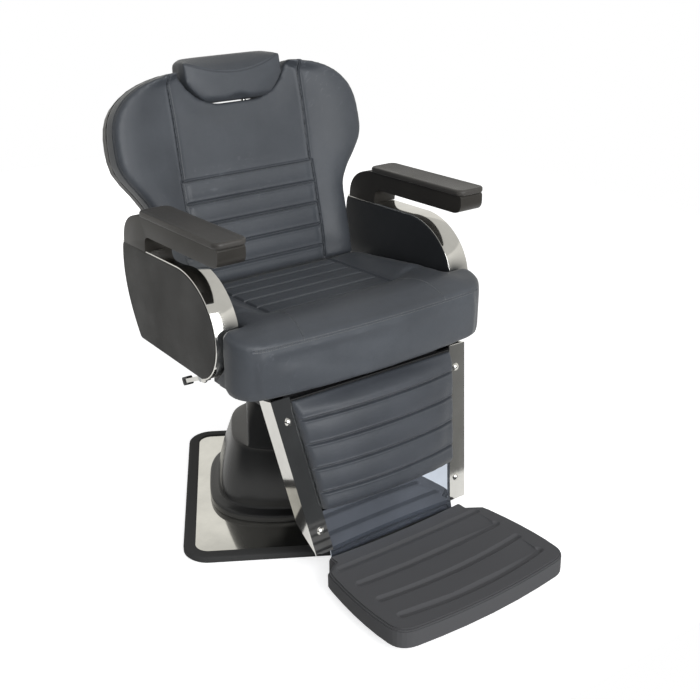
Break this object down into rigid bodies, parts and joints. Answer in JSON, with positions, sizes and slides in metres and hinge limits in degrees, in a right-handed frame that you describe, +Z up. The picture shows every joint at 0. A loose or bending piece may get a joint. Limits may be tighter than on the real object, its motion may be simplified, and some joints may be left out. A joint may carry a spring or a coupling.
{
  "type": "hydraulic barber chair",
  "caption": "Padded barber chair on a square base: lifting, swivelling column, reclining winged back with sliding headrest, linked legrest and fold-up ribbed footrest.",
  "frame": {"origin": "point on the floor on the column's swivel axis, under the middle of the base", "axes": "+Z up along the swivel axis; the chair faces -Y, so the sitter's right hand is towards -X and the back is towards +Y"},
  "size_m": [0.7518, 1.0179, 0.979],
  "materials": {
    "chrome_plate": "polished",
    "rim_rubber": "matt",
    "cover_gloss": "gloss",
    "hidden_iron": "painted dark grey",
    "frame_paint": "satin black",
    "ground_steel": "ground",
    "chrome": "polished",
    "zinc_steel": "bright zinc",
    "board": "raw plywood",
    "upholstery": "matt charcoal leatherette",
    "panel": "matt warm black",
    "arm_plastic": "satin black",
    "shell_plastic": "fine-grained charcoal",
    "grip_plastic": "satin black",
    "tread_rubber": "matt charcoal"
  },
  "bodies": {
    "base": {"base_rim": "rim_rubber", "base_plate": "chrome_plate", "column_cover": "cover_gloss", "cover_collar": "rim_rubber", "pump_cylinder": "hidden_iron", "pump_gland": "hidden_iron", "pump_bolts": "zinc_steel", "pump_block": "hidden_iron", "pedal_pin": "ground_steel"},
    "pedal": {"pedal_lever": "chrome", "pedal_pad": "rim_rubber"},
    "ram": {"ram": "ground_steel", "ram_seal": "rim_rubber", "thrust_bearing": "ground_steel", "spindle_nut": "zinc_steel"},
    "seat": {"swivel_hub": "hidden_iron", "hub_bolts": "zinc_steel", "seat_frame": "frame_paint", "seat_board": "board", "seat_cushion": "upholstery", "arm_brackets": "frame_paint", "hinge_pins": "ground_steel", "lever_pin": "ground_steel", "arm_core_left": "arm_plastic", "arm_core_right": "arm_plastic", "inner_panel_left": "panel", "inner_panel_right": "panel", "outer_panel_left": "panel", "outer_panel_right": "panel", "arm_band_left": "chrome", "arm_band_right": "chrome", "armrest_left": "arm_plastic", "armrest_right": "arm_plastic", "arm_pad_left": "panel", "arm_pad_right": "panel", "arm_nuts": "zinc_steel", "gas_cylinder": "frame_paint"},
    "lever": {"recline_lever": "chrome", "lever_grip": "grip_plastic"},
    "gas_rod": {"gas_rod": "ground_steel"},
    "back": {"back_frame": "frame_paint", "back_board": "board", "back_shell": "shell_plastic", "back_cushion": "upholstery", "headrest_guides": "zinc_steel", "back_pins": "ground_steel"},
    "headrest": {"headrest_pillow": "upholstery", "headrest_bars": "chrome"},
    "link_rods": {"link_rods": "zinc_steel"},
    "legrest": {"leg_bracket_left": "chrome", "leg_bracket_right": "chrome", "mirror_plate": "chrome", "calf_board": "board", "calf_pad": "upholstery", "leg_crossbar": "frame_paint", "leg_pins": "ground_steel", "leg_bolts": "chrome", "footrest_hinge": "zinc_steel"},
    "footrest": {"footrest_core": "frame_paint", "footrest_tread": "tread_rubber"}
  },
  "joints": [
    {"name": "pedal_hinge", "type": "hinge", "parent": "base", "child": "pedal", "pos_m": [0.05685, 0.0965, 0.082], "axis": [-0.8616, 0.5075, 0], "range_deg": [0, 15], "stiffness_Nm_per_rad": 2, "springref_deg": -34.38},
    {"name": "lift", "type": "slide", "parent": "base", "child": "ram", "axis": [0, 0, 1], "range_m": [0, 0.15]},
    {"name": "swivel", "type": "hinge", "parent": "ram", "child": "seat", "pos_m": [0, 0, 0.34], "axis": [0, 0, 1], "continuous": true},
    {"name": "recline", "type": "hinge", "parent": "seat", "child": "back", "pos_m": [0, 0.20483, 0.42488], "axis": [-1, 0, 0], "range_deg": [0, 50]},
    {"name": "legrest_swing", "type": "hinge", "parent": "seat", "child": "legrest", "pos_m": [0, -0.238, 0.378], "axis": [-1, 0, 0], "range_deg": [0, 50]},
    {"name": "link_turn", "type": "hinge", "parent": "back", "child": "link_rods", "pos_m": [0, 0.23946, 0.35836], "axis": [-1, 0, 0], "range_deg": [-50, 0]},
    {"name": "gas_travel", "type": "slide", "parent": "seat", "child": "gas_rod", "axis": [0, -0.9951, -0.0985], "range_m": [0, 0.05]},
    {"name": "headrest_slide", "type": "slide", "parent": "back", "child": "headrest", "axis": [0, 0.2394, 0.9709], "range_m": [0, 0.08]},
    {"name": "lever_hinge", "type": "hinge", "parent": "seat", "child": "lever", "pos_m": [-0.298, -0.07, 0.4053], "axis": [1, 0, 0], "range_deg": [0, 18], "stiffness_Nm_per_rad": 0.8, "springref_deg": -28.65},
    {"name": "footrest_fold", "type": "hinge", "parent": "legrest", "child": "footrest", "pos_m": [0, -0.344, 0.044], "axis": [-1, 0, 0], "range_deg": [0, 70]}
  ],
  "couplings": [
    {"joint": "legrest_swing", "follows": "recline", "ratio": 1},
    {"joint": "link_turn", "follows": "recline", "ratio": -1},
    {"joint": "gas_travel", "follows": "recline", "m_per_rad": 0.057}
  ]
}
